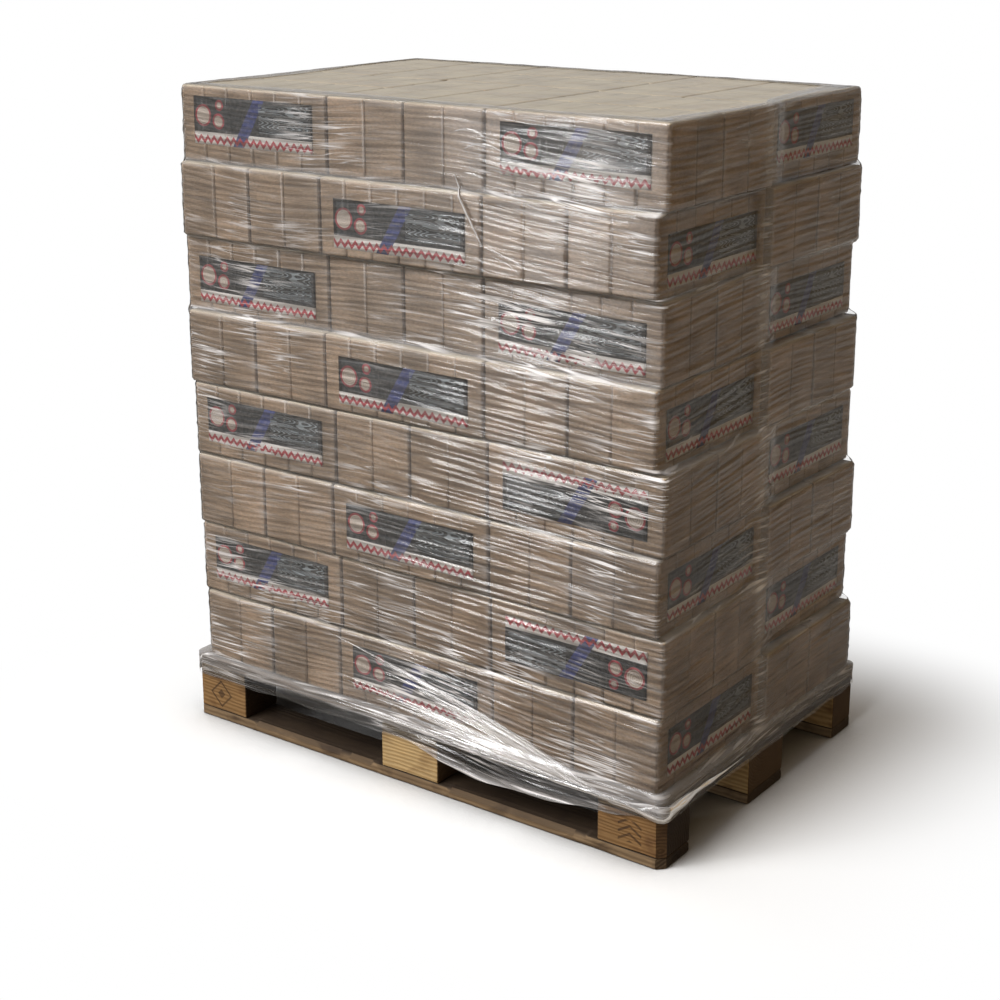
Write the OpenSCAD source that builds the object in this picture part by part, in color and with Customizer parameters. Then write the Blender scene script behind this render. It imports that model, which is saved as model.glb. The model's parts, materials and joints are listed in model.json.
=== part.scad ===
// Four-way timber pallet loaded with eight interlocked layers of pressed-wood briquette packs
// Origin: centre of the pallet's footprint on the floor. +X along the length, front at -Y.

/* [Pallet] */
// Length of the pallet, along X
pallet_l = 1200; // [1100:10:1300]
// Width of the pallet, along Y
pallet_w = 800; // [740:10:900]
// Thickness of every board
board_t = 22; // [16:1:30]
// Height of the nine blocks
block_h = 78; // [60:1:110]
// Length of a block and width of the cross board on it
block_l = 145; // [100:1:180]
// Width of the outer rows: blocks and bottom boards
edge_w = 100; // [80:1:145]
// Width of the wide boards and of the middle row
wide_w = 145; // [110:1:160]
// Width of the two narrow deck boards
narrow_w = 100; // [70:1:110]
// Leg of the cut on the four upright corners
corner_cut = 16; // [4:1:30]
// Leg of the chamfer on the bottom boards' upper edges, between the blocks
bay_chamfer = 9; // [3:1:15]
// Distance from a block to the start of that chamfer
bay_runout = 22; // [0:1:60]

/* [Briquette] */
// Face of a briquette along its pack
briq_w = 64.5; // [55:0.5:72]
// Face of a briquette across its pack
briq_d = 92.5; // [80:0.5:105]
// Height of a briquette, standing on end
briq_h = 152; // [120:1:190]
// Depth of the seam between neighbouring briquettes
seam_d = 5; // [2:0.5:8]
// Half opening of that seam at the face
seam_w = 4; // [2:0.5:7]

/* [Pack] */
// Briquettes along a pack
along_n = 6; // [4:1:6]
// Wrapper allowance on each face of a pack
wrapper = 1; // [0.5:0.5:3]
// Chamfer on the edges of a pack
pack_edge = 8; // [2:1:12]

/* [Load] */
// Space between the two packs of a pair
pair_gap = 1; // [0.5:0.5:6]
// Space between the pairs of a layer
cell_gap = 1.5; // [0.5:0.5:12]
// Share of the layers' sideways shifts
sway = 1; // [0:0.1:1]

/* [Label] */
// Length of a label
label_l = 318; // [180:2:340]
// Height of a label
label_h = 96; // [60:2:120]
// Thickness of a label
label_t = 0.5; // [0.3:0.1:1]

/* [Stretch film] */
// Thickness of the wound film
film_t = 1; // [0.6:0.1:2]
// Drop of the film below the top of the deck
film_drop = 42; // [10:1:60]

/* [Hidden] */
pallet_h = 3 * board_t + block_h;
block_z = board_t;
cross_z = block_z + block_h;
deck_z = cross_z + board_t;
deck_w = [wide_w, narrow_w, wide_w, narrow_w, wide_w];
deck_gap = (pallet_w - 3 * wide_w - 2 * narrow_w) / 4;
narrow_y = (wide_w + narrow_w) / 2 + deck_gap;
wide_y = (pallet_w - wide_w) / 2;
deck_y = [-wide_y, -narrow_y, 0, narrow_y, wide_y];
row_y = [for (s = [-1, 0, 1]) s * (pallet_w - edge_w) / 2];
row_w = [edge_w, wide_w, edge_w];
col_x = [for (s = [-1, 0, 1]) s * (pallet_l - block_l) / 2];
bay_l = (pallet_l - 3 * block_l) / 2;

pack_l = along_n * briq_w + 2 * wrapper;
pack_w = 2 * briq_d + 2 * wrapper;
pack_h = briq_h + 2 * wrapper;
pair_w = 2 * pack_w + pair_gap;
label_x = min(label_l, pack_l - 2 * pack_edge);
label_z = min(label_h, pack_h - 2 * pack_edge);

// as many pairs as the deck takes, each in a square cell
cell = max(pack_l, pair_w) + cell_gap;
cols = max(1, floor((pallet_l + cell_gap) / cell));
rows = max(1, floor((pallet_w + cell_gap) / cell));
load_l = max([for (i = [0, 1], r = [0 : rows - 1]) run_x(i, cols, r)]) - cell_gap;
load_w = max([for (i = [0, 1], c = [0 : cols - 1]) run_y(i, c, rows)]) - cell_gap;

// sideways shift of each layer from the bottom one up, as the load leans
layer_shift = [[18, -12], [10, -8], [9, -12], [3, -7], [-6, -7], [-18, 9], [-16, 0], [-18, 13]];
layers = len(layer_shift);
side_gap = label_t;
eps = 1;

function layer_z(i) = pallet_h + i * pack_h;
function layer_at(i) = sway * layer_shift[i];
// pairs lie along X on every second cell, and swap over from layer to layer
function along_x(i, c, r) = (c + r + i) % 2 == 1;
function size_x(i, c, r) = along_x(i, c, r) ? pack_l : pair_w;
function size_y(i, c, r) = along_x(i, c, r) ? pair_w : pack_l;
// pairs are pushed up against the left and front faces of the load
function run_x(i, c, r) = c == 0 ? 0 : run_x(i, c - 1, r) + size_x(i, c - 1, r) + cell_gap;
function run_y(i, c, r) = r == 0 ? 0 : run_y(i, c, r - 1) + size_y(i, c, r - 1) + cell_gap;
function pair_at(i, c, r) = layer_at(i) + [run_x(i, c, r) + (size_x(i, c, r) - load_l) / 2,
                                           run_y(i, c, r) + (size_y(i, c, r) - load_w) / 2];

// one face of a pack seen from above, with a notch at each seam
function face(n, step, half) = [for (k = [1 : n - 1], p = [-1, 0, 1])
    [(k - n / 2) * step + p * seam_w, p == 0 ? -half + seam_d : -half]];
function turned(pts, a) = [for (p = pts) [p[0] * cos(a) - p[1] * sin(a),
                                          p[0] * sin(a) + p[1] * cos(a)]];
function cut_corner(sx, sy) = let (x = sx * pack_l / 2, y = sy * pack_w / 2)
    sx == sy ? [[x, y - sy * pack_edge], [x - sx * pack_edge, y]]
             : [[x - sx * pack_edge, y], [x, y - sy * pack_edge]];
function pack_plan() = concat(
    cut_corner(-1, -1), face(along_n, briq_w, pack_w / 2),
    cut_corner(1, -1), turned(face(2, briq_d, pack_l / 2), 90),
    cut_corner(1, 1), turned(face(along_n, briq_w, pack_w / 2), 180),
    cut_corner(-1, 1), turned(face(2, briq_d, pack_l / 2), 270));
// upright outline of a pack with chamfered edges, drawn out past its side faces and its ends
function pack_upright(w, past_side, past_end) =
    let (a = w / 2 + past_side, b = w / 2 - pack_edge - past_end, c = pack_edge + past_side)
    [[-a, c], [-b, -past_end], [b, -past_end], [a, c],
     [a, pack_h - c], [b, pack_h + past_end], [-b, pack_h + past_end], [-a, pack_h - c]];

module block_of(l, w, h, at) translate([at[0] - l / 2, at[1] - w / 2, at[2]]) cube([l, w, h]);

module corner_cuts() {
    for (sx = [-1, 1], sy = [-1, 1])
        translate([sx * pallet_l / 2, sy * pallet_w / 2, pallet_h / 2]) rotate([0, 0, 45])
            cube([corner_cut * sqrt(2), corner_cut * sqrt(2), pallet_h + 2 * eps], center = true);
}

module bay_chamfers() {
    for (r = [0 : 2], side = [-1, 1], bay = [-1, 1])
        translate([bay * (bay_l + block_l) / 2, row_y[r] + side * row_w[r] / 2, board_t]) rotate([45, 0, 0])
            cube([bay_l - 2 * bay_runout, bay_chamfer * sqrt(2), bay_chamfer * sqrt(2)], center = true);
}

module bottom_boards() color([0.80, 0.68, 0.47]) difference() {
    for (r = [0 : 2]) block_of(pallet_l, row_w[r], board_t, [0, row_y[r], 0]);
    corner_cuts();
    bay_chamfers();
}

module blocks() color([0.83, 0.70, 0.47]) difference() {
    for (c = [0 : 2], r = [0 : 2]) block_of(block_l, row_w[r], block_h, [col_x[c], row_y[r], block_z]);
    corner_cuts();
}

module cross_boards() color([0.70, 0.60, 0.45]) difference() {
    for (c = [0 : 2]) block_of(block_l, pallet_w, board_t, [col_x[c], 0, cross_z]);
    corner_cuts();
}

module deck_boards() color([0.66, 0.58, 0.46]) difference() {
    for (k = [0 : 4]) block_of(pallet_l, deck_w[k], board_t, [0, deck_y[k], deck_z]);
    corner_cuts();
}

// twelve briquettes under one wrapper: a notched plan, trimmed to both upright outlines
module pack() intersection() {
    translate([0, 0, -eps]) linear_extrude(pack_h + 2 * eps) polygon(pack_plan());
    rotate([90, 0, 90]) linear_extrude(pack_l + 2 * eps, center = true)
        polygon(pack_upright(pack_w, eps, 0));
    rotate([90, 0, 0]) linear_extrude(pack_w + 2 * eps, center = true)
        polygon(pack_upright(pack_l, eps, eps));
}

module layer(i) color([0.62, 0.50, 0.38]) {
    for (c = [0 : cols - 1], r = [0 : rows - 1], s = [-1, 1])
        translate(concat(pair_at(i, c, r), layer_z(i))) rotate([0, 0, along_x(i, c, r) ? 0 : 90])
            translate([0, s * (pack_w + pair_gap) / 2, 0]) pack();
}

// one on each long pack face that looks out at the front or at the right
module labels(front) color([0.86, 0.84, 0.82]) {
    for (i = [0 : layers - 1], c = [0 : cols - 1], r = [0 : rows - 1])
        if (along_x(i, c, r) == front && (front ? r == 0 : c == cols - 1)) {
            out = (pair_w + label_t) / 2;
            at = pair_at(i, c, r) + (front ? [0, -out] : [out, 0]);
            size = front ? [label_x, label_t] : [label_t, label_x];
            block_of(size[0], size[1], label_z, concat(at, layer_z(i) + (pack_h - label_z) / 2));
        }
}

module labels_front() labels(true);
module labels_right() labels(false);

// room of one layer, or of the deck, grown to the sides, up and down
module layer_room(i, grow) block_of(load_l + 2 * grow, load_w + 2 * grow, pack_h + 2 * grow,
    concat(layer_at(i), layer_z(i) - grow));
module deck_room(grow, drop) block_of(pallet_l + 2 * grow, pallet_w + 2 * grow, drop + grow,
    [0, 0, pallet_h - drop]);

// skin that steps in and out with the layers and laps over the deck, open above and below
module stretch_film() color([0.90, 0.91, 0.93, 0.35]) difference() {
    union() {
        deck_room(side_gap + film_t, film_drop);
        for (i = [0 : layers - 1]) layer_room(i, side_gap + film_t);
    }
    deck_room(side_gap, film_drop + eps);
    for (i = [0 : layers - 1]) layer_room(i, side_gap);
    block_of(2 * load_l, 2 * load_w, pack_h, [0, 0, layer_z(layers)]);
}

bottom_boards();
blocks();
cross_boards();
deck_boards();
layer(0);  // layer_1
layer(1);  // layer_2
layer(2);  // layer_3
layer(3);  // layer_4
layer(4);  // layer_5
layer(5);  // layer_6
layer(6);  // layer_7
layer(7);  // layer_8
labels_front();
labels_right();
stretch_film();
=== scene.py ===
import bpy
import bmesh
import json
import math
import random
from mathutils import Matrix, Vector, noise

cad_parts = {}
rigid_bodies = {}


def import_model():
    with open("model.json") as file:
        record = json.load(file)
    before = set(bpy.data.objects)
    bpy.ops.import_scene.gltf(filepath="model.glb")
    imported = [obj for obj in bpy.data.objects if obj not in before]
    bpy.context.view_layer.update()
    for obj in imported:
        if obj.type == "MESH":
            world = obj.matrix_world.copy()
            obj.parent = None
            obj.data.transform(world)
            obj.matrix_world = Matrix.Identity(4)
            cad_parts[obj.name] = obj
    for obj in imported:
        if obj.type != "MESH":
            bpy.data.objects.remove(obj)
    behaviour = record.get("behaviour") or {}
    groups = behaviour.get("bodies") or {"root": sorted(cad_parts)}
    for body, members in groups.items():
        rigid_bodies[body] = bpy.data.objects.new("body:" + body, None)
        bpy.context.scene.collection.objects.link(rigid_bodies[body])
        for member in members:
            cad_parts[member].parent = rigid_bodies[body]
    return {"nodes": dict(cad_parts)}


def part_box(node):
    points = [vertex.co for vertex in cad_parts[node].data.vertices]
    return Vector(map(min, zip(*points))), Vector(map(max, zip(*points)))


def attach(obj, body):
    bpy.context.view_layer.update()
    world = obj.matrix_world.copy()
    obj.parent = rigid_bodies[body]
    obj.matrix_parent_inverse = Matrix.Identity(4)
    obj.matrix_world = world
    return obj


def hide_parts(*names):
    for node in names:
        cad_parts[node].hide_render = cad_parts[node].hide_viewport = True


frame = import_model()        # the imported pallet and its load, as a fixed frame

scene = bpy.context.scene
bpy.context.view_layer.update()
print("frame loaded:", len(frame["nodes"]), "nodes")


def hexLinear(code):
    parts = [int(code[k:k + 2], 16) / 255 for k in (1, 3, 5)]
    return [p / 12.92 if p <= 0.04045 else ((p + 0.055) / 1.055) ** 2.4 for p in parts] + [1.0]


def addNode(tree, kind, inputs=None, **settings):
    made = tree.nodes.new(kind)
    for name, value in settings.items():
        setattr(made, name, value)
    for key, value in (inputs or {}).items():
        if isinstance(value, bpy.types.NodeSocket):
            tree.links.new(value, made.inputs[key])
        else:
            made.inputs[key].default_value = value
    return made


def newMaterial(name):
    material = bpy.data.materials.new(name)
    material.use_nodes = True
    material.node_tree.nodes.clear()
    return material, material.node_tree


def showSurface(tree, shader):
    addNode(tree, "ShaderNodeOutputMaterial", {"Surface": shader})


def newPiece(name, mesh, slotName, *nodes):
    piece = bpy.data.objects.new(name, mesh)
    scene.collection.objects.link(piece)
    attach(piece, "root")
    if nodes:
        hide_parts(*nodes)
    return piece


def meshFrom(bm, name, *materials):
    mesh = bpy.data.meshes.new(name)
    bm.to_mesh(mesh)
    bm.free()
    for material in materials:
        mesh.materials.append(material)
    return mesh


# camera at the photograph's viewing angle
view = {"place": (2.1571, -3.0467, 1.7357), "yaw": 36.08, "down": 16.08, "lens": 66.28, "shiftY": -0.07}

lens = bpy.data.cameras.new("studioLens")
lens.sensor_width, lens.lens, lens.shift_y = 36, view["lens"], view["shiftY"]
lens.clip_start, lens.clip_end = 0.05, 200
camera = bpy.data.objects.new("studioCamera", lens)
camera.location = view["place"]
camera.rotation_euler = (math.radians(90 - view["down"]), 0, math.radians(view["yaw"]))
scene.collection.objects.link(camera)
scene.camera = camera
print("camera placed")


def newTree(name, inputs):
    # an empty geometry tree with named inputs for its sizes
    tree = bpy.data.node_groups.new(name, "GeometryNodeTree")
    tree.interface.new_socket("Geometry", in_out="INPUT", socket_type="NodeSocketGeometry")
    for label, kind in inputs.items():
        tree.interface.new_socket(label, in_out="INPUT", socket_type=f"NodeSocket{kind}")
    tree.interface.new_socket("Geometry", in_out="OUTPUT", socket_type="NodeSocketGeometry")
    return tree, addNode(tree, "NodeGroupInput").outputs


# pallet timber
timber = {
    "board": 0.022, "outerRow": 0.1, "middleRow": 0.145, "blockLength": 0.145,
    "deckRows": ((-0.4, -0.255), (-0.21375, -0.11375), (-0.0725, 0.0725), (0.11375, 0.21375), (0.255, 0.4)),
    "cornerCut": 0.016, "bayChamfer": 0.009, "bayRunout": 0.022, "chamferRun": 0.008,
    "edgeWear": 0.0022, "wander": 0.0011, "step": 0.05, "acrossStep": 0.03, "roundBelow": 0.00035, "seed": 41,
    "bottomTones": (0.2, 0.5, 0.6),        # front to back, 0 is weathered and 1 is fresh; low tones also paint the ends near black as shade
    "blockTones": (0.14, 0.4, 0.5, 0.95, 0.3, 0.6, 0.08, 1.0, 0.9),        # each row front to back, from the left
    "pale": {"early": "#ab997c", "late": "#8e7c62", "stain": "#4a3a2b", "stained": 0.8, "weather": "#81735e",
             "weathered": 0.5, "endGrain": "#3b2c1f", "ends": 0.85, "grimeAndShade": 0.9},
    "block": {"early": "#bfa274", "late": "#a08153", "stain": "#664627", "stained": 0.7, "weather": "#94805d",
              "weathered": 0.35, "endGrain": "#3d2d1f", "ends": 0.9, "grimeAndShade": 0.7},
    "grey": {"early": "#998a71", "late": "#7e6e58", "stain": "#43372a", "stained": 0.65, "weather": "#7a7265",
             "weathered": 0.75, "endGrain": "#3f2f20", "ends": 0.75, "grimeAndShade": 0.3},
}


def sawnSpruce(name, kind, scorched=False):
    # sawn softwood: soft growth-ring stripes that run through to arcs on the ends, dark knots, grey weathering,
    # brown stains from handling, darker end grain with painted shade on some ends, grime and painted shade on what
    # faces up
    look = timber[kind]
    material, tree = newMaterial(name)
    grain = addNode(tree, "ShaderNodeAttribute", attribute_name="grain").outputs["Vector"]
    tone = addNode(tree, "ShaderNodeAttribute", attribute_name="tone").outputs["Fac"]
    stretched = {scale: addNode(tree, "ShaderNodeMapping", {"Vector": grain, "Scale": scale}).outputs[0]
                 for scale in ((0.22, 1, 1), (16, 620, 620), (3.4, 9, 9), (14, 30, 30))}
    rings = addNode(tree, "ShaderNodeTexWave", {        # rings 6.5 mm apart, coarser than life so that they show
        "Vector": stretched[0.22, 1, 1], "Scale": 0.314 / 0.0065, "Distortion": 5.5, "Detail": 2.5,
        "Detail Scale": 0.5, "Detail Roughness": 0.55}, wave_type="RINGS", rings_direction="X").outputs["Fac"]
    fibre = addNode(tree, "ShaderNodeTexNoise", {        # fibres 1.6 mm wide and 60 mm long
        "Vector": stretched[16, 620, 620], "Scale": 1, "Detail": 3}).outputs["Fac"]
    knots = addNode(tree, "ShaderNodeTexVoronoi", {        # knots some 20 mm across, a few to a board
        "Vector": stretched[3.4, 9, 9], "Scale": 1}).outputs["Distance"]
    cloud = addNode(tree, "ShaderNodeTexNoise", {        # weathering in patches of about 110 mm
        "Vector": grain, "Scale": 9, "Detail": 5}).outputs["Fac"]
    smear = addNode(tree, "ShaderNodeTexNoise", {        # smears 70 mm long and 33 mm wide
        "Vector": stretched[14, 30, 30], "Scale": 1, "Detail": 4, "Distortion": 0.6}).outputs["Fac"]
    facing = addNode(tree, "ShaderNodeSeparateXYZ", {
        0: addNode(tree, "ShaderNodeNewGeometry").outputs["Normal"]}).outputs
    endwise = addNode(tree, "ShaderNodeMath", {0: facing["X"]}, operation="ABSOLUTE").outputs[0]
    masks = {}
    for mask, signal, start, full, share in (
            ("knot", knots, 0.1, 0.05, 0.85), ("weather", cloud, 0.38, 0.66, look["weathered"]),
            ("stain", smear, 0.5, 0.72, look["stained"]), ("end", endwise, 0.55, 0.8, look["ends"]),
            # what faces up darkens: grime, and painted shade, since the upward faces lie under the deck and the load
            ("grimeAndShade", facing["Z"], 0.5, 0.9, look["grimeAndShade"])):
        masks[mask] = addNode(tree, "ShaderNodeMapRange", {0: signal, 1: start, 2: full, 4: share}).outputs[0]
    fibreTone = addNode(tree, "ShaderNodeMapRange", {0: fibre, 1: 0.3, 2: 0.7, 3: 0.8, 4: 1.12}).outputs[0]
    # end faces run from near black at low tone, which is painted shade, to the end grain's own brown at high tone
    wood, endGrainAndShade, boardTone = [
        addNode(tree, "ShaderNodeMix", {0: share, 6: hexLinear(a), 7: hexLinear(b)}, data_type="RGBA").outputs[2]
        for share, a, b in ((rings, look["early"], look["late"]), (tone, "#140e0a", look["endGrain"]),
                            (tone, "#a8937e", "#ffffff"))]        # the last from weathered brown to fresh
    coats = [(1.0, fibreTone, "MULTIPLY"), (masks["knot"], hexLinear("#4b2f1b"), "MIX"),
             (masks["weather"], hexLinear(look["weather"]), "MIX"), (masks["stain"], hexLinear(look["stain"]), "MIX"),
             (masks["end"], endGrainAndShade, "MIX"), (masks["grimeAndShade"], hexLinear("#33281d"), "MIX"),
             (1.0, boardTone, "MULTIPLY")]
    if scorched:        # burnt-in signs of no meaning: a diamond on the left block, chevrons on the right
        spot = addNode(tree, "ShaderNodeSeparateXYZ", {
            0: addNode(tree, "ShaderNodeTexCoord").outputs["Object"]}).outputs
        sums = {"x": spot["X"], "y": spot["Y"], "z": spot["Z"], "smear": smear}
        for result, operation, a, b in (
                ("up", "SUBTRACT", "z", 0.061), ("high", "ABSOLUTE", "up", 0.0),
                ("leftX", "ADD", "x", 0.5275), ("leftFar", "ABSOLUTE", "leftX", 0.0),
                ("leftSum", "ADD", "leftFar", "high"), ("rimOff", "SUBTRACT", "leftSum", 0.029),
                ("rimFar", "ABSOLUTE", "rimOff", 0.0), ("rim", "LESS_THAN", "rimFar", 0.0028),
                ("core", "LESS_THAN", "leftSum", 0.011), ("diamond", "MAXIMUM", "rim", "core"),
                ("rightX", "SUBTRACT", "x", 0.5275), ("rightFar", "ABSOLUTE", "rightX", 0.0),
                ("slope", "MULTIPLY", "rightFar", 0.6), ("rise", "ADD", "up", "slope"), ("lift", "ADD", "rise", 0.2),
                ("stripe", "MODULO", "lift", 0.016), ("bar", "LESS_THAN", "stripe", 0.0055),
                ("wide", "LESS_THAN", "rightFar", 0.026), ("tall", "LESS_THAN", "high", 0.023),
                ("barWide", "MULTIPLY", "bar", "wide"), ("chevron", "MULTIPLY", "barWide", "tall"),
                ("sign", "MAXIMUM", "diamond", "chevron"), ("front", "LESS_THAN", "y", -0.396),
                ("onFront", "MULTIPLY", "sign", "front"), ("burn", "ADD", "smear", 0.32),
                ("mark", "MULTIPLY", "onFront", "burn")):
            sums[result] = addNode(tree, "ShaderNodeMath", {0: sums.get(a, a), 1: sums.get(b, b)},
                                   operation=operation).outputs[0]
        coats.append((sums["mark"], hexLinear("#35210f"), "MIX"))
    for share, colour, blend in coats:
        wood = addNode(tree, "ShaderNodeMix", {0: share, 6: wood, 7: colour},
                       data_type="RGBA", blend_type=blend).outputs[2]
    rough = addNode(tree, "ShaderNodeMapRange", {0: fibre, 3: 0.66, 4: 0.88}).outputs[0]
    relief = addNode(tree, "ShaderNodeMath", {0: rings, 1: fibre}, operation="ADD").outputs[0]
    bump = addNode(tree, "ShaderNodeBump", {"Height": relief, "Strength": 0.5, "Distance": 0.0012}).outputs[0]
    showSurface(tree, addNode(tree, "ShaderNodeBsdfPrincipled", {
        "Base Color": wood, "Roughness": rough, "Normal": bump, "Specular IOR Level": 0.3}).outputs[0])
    return material


def addBoard(bm, low, high, alongX, draw, chamfers=(), tone=None):
    # one board from rings of points along its length, edges worn, ends rounded, all inside its box
    low, high = Vector(low), Vector(high)
    length = high.x - low.x if alongX else high.y - low.y
    width = high.y - low.y if alongX else high.x - low.x
    thick, centre = high.z - low.z, (low + high) / 2
    wear, half, run = timber["edgeWear"], length / 2, timber["chamferRun"]
    inner = length - 2 * wear
    count = max(2, round(inner / timber["step"]))
    stations = [-half, -half + wear]
    stations += [-half + wear + inner * (k + draw.uniform(-0.3, 0.3)) / count for k in range(1, count)]
    stations += [half - wear, half]
    for start, end in chamfers:        # a chamfer needs a ring where it starts and where it is full
        stations += [start, start + run, end - run, end]
    across = max(1, round((width - 2 * wear) / timber["acrossStep"]))
    seed = Vector((draw.uniform(0, 90), draw.uniform(0, 90), draw.uniform(0, 90)))
    grainShift = Vector((draw.uniform(0, 40), draw.uniform(-0.05, 0.05),        # the tree's heart is off the board
                         draw.choice((-1, 1)) * draw.uniform(0.02, 0.07)))
    tone = draw.random() if tone is None else tone
    grainLayer, toneLayer = bm.verts.layers.float_vector["grain"], bm.verts.layers.float["tone"]
    rings = []
    for s in sorted(stations):
        inset = wear if abs(abs(s) - half) < 1e-6 else 0.0
        full = 0.0
        for start, end in chamfers:
            if start - 1e-6 <= s <= end + 1e-6:
                full = max(full, min(1.0, (s - start) / run, (end - s) / run))
        topCut = wear + (timber["bayChamfer"] - wear) * full
        w, t = width / 2 - inset, thick / 2 - inset
        outline = [(-(w - wear) + 2 * (w - wear) * k / across, -t) for k in range(across + 1)]
        outline += [(w, -t + wear), (w, t - topCut)]
        outline += [((w - topCut) - 2 * (w - topCut) * k / across, t) for k in range(across + 1)]
        outline += [(-w, t - topCut), (-w, -t + wear)]
        ring = []
        for a, h in outline:
            spot = Vector((s * 9, a * 22, h * 40)) + seed
            rough = 1.6 if abs(a) > w - 0.004 else 0.4        # edges are worn more than faces
            shy = timber["wander"] * (0.5 + 0.5 * noise.noise(spot))        # inward only
            shy += timber["wander"] * max(0.0, noise.noise(spot * 3.1)) * rough
            a -= math.copysign(min(shy, abs(a)), a) if abs(a) > w - 2 * wear else 0
            h -= math.copysign(shy * 0.7, h)
            vert = bm.verts.new(centre + (Vector((s, a, h)) if alongX else Vector((-a, s, h))))
            vert[grainLayer], vert[toneLayer] = Vector((s, a, h)) + grainShift, tone
            ring.append(vert)
        rings.append(ring)
    for ringA, ringB in zip(rings, rings[1:]):
        for k in range(len(ringA)):
            j = (k + 1) % len(ringA)
            bm.faces.new((ringA[k], ringA[j], ringB[j], ringB[k]))
    bm.faces.new(rings[0])
    bm.faces.new(list(reversed(rings[-1])))


def cutCorners(bm, halfX, halfY, cut):
    for sx in (-1, 1):
        for sy in (-1, 1):
            spot = Vector((sx * halfX, sy * (halfY - cut), 0))
            out = Vector((sx, sy, 0)).normalized()
            sliced = bmesh.ops.bisect_plane(bm, geom=bm.verts[:] + bm.edges[:] + bm.faces[:],
                                            plane_co=spot, plane_no=out, clear_outer=True)
            edges = [e for e in sliced["geom_cut"] if isinstance(e, bmesh.types.BMEdge)]
            bmesh.ops.holes_fill(bm, edges=edges, sides=0)


def timberPiece(name, node, slotName, material, boards, tones=()):
    bm = bmesh.new()
    bm.verts.layers.float_vector.new("grain")
    bm.verts.layers.float.new("tone")
    draw = random.Random(f"{name}{timber['seed']}")
    for k, (low, high, alongX, chamfers) in enumerate(boards):
        addBoard(bm, low, high, alongX, draw, chamfers, tones[k] if tones else None)
    cutCorners(bm, palletHalfX, palletHalfY, timber["cornerCut"])
    bmesh.ops.recalc_face_normals(bm, faces=bm.faces[:])
    for face in bm.faces:        # big faces stay flat, worn edges are shaded round
        face.smooth = face.calc_area() < timber["roundBelow"]
    return newPiece(name, meshFrom(bm, name, material), slotName, node)


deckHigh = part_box("deck_boards")[1]
palletHalfX, palletHalfY, deckZ = deckHigh
blockLow, blockHigh = [corner.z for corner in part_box("blocks")]
board, blockLength = timber["board"], timber["blockLength"]
colStarts = [-palletHalfX, -blockLength / 2, palletHalfX - blockLength]
rowWidths = [(-palletHalfY, -palletHalfY + timber["outerRow"]), (-timber["middleRow"] / 2, timber["middleRow"] / 2),
             (palletHalfY - timber["outerRow"], palletHalfY)]
bays = [(colStarts[k] + blockLength + timber["bayRunout"], colStarts[k + 1] - timber["bayRunout"]) for k in (0, 1)]

palePlank = sawnSpruce("sawnSprucePale", "pale")
blockWood = sawnSpruce("sawnSpruceBlock", "block", scorched=True)
greyPlank = sawnSpruce("weatheredSpruce", "grey")

timberPiece("pallet_bottom", "bottom_boards", "pallet_pale", palePlank,
            [((-palletHalfX, a, 0), (palletHalfX, b, board), True, bays) for a, b in rowWidths], timber["bottomTones"])
timberPiece("pallet_blocks", "blocks", "pallet_pale", blockWood,
            [((x, a, blockLow), (x + blockLength, b, blockHigh), True, ())
             for x in colStarts for a, b in rowWidths], timber["blockTones"])
timberPiece("pallet_cross", "cross_boards", "pallet_grey", greyPlank,
            [((x, -palletHalfY, blockHigh), (x + blockLength, palletHalfY, blockHigh + board), False, ())
             for x in colStarts])
timberPiece("pallet_deck", "deck_boards", "pallet_grey", greyPlank,
            [((-palletHalfX, a, deckZ - board), (palletHalfX, b, deckZ), True, ()) for a, b in timber["deckRows"]])
print("pallet timber made")


# nails that hold the bottom boards to the blocks, heads flush with the underside
nails = {"head": 0.0056, "deep": 0.004, "low": 0.0002, "spread": (0.045, 0.032), "stray": 0.006, "seed": 5}


def wireSteel():
    # bright drawn steel gone dull: grey, half glossy, brown rust in patches
    material, tree = newMaterial("wireSteel")
    rust = addNode(tree, "ShaderNodeTexNoise", {        # rust spots of 4 mm
        "Vector": addNode(tree, "ShaderNodeTexCoord").outputs["Object"], "Scale": 260, "Detail": 2}).outputs["Fac"]
    rusty = addNode(tree, "ShaderNodeMapRange", {0: rust, 1: 0.45, 2: 0.6}).outputs[0]
    colour = addNode(tree, "ShaderNodeMix", {0: rusty, 6: hexLinear("#8a8783"), 7: hexLinear("#5b3b26")},
                     data_type="RGBA").outputs[2]
    metal = addNode(tree, "ShaderNodeMapRange", {0: rusty, 3: 0.9, 4: 0.1}).outputs[0]
    showSurface(tree, addNode(tree, "ShaderNodeBsdfPrincipled", {
        "Base Color": colour, "Metallic": metal, "Roughness": 0.5}).outputs[0])
    return material


def nailTree(steel):
    tree, given = newTree("nailHeads", {"Head Radius": "Float", "Head Depth": "Float"})
    head = addNode(tree, "GeometryNodeMeshCylinder", {
        "Vertices": 14, "Radius": given["Head Radius"], "Depth": given["Head Depth"]}).outputs["Mesh"]
    placed = addNode(tree, "GeometryNodeInstanceOnPoints", {
        "Points": given["Geometry"], "Instance": head}).outputs[0]
    solid = addNode(tree, "GeometryNodeRealizeInstances", {0: placed}).outputs[0]
    addNode(tree, "NodeGroupOutput", {0: addNode(tree, "GeometryNodeSetMaterial", {
        "Geometry": solid, "Material": steel}).outputs[0]})
    return tree


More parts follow.
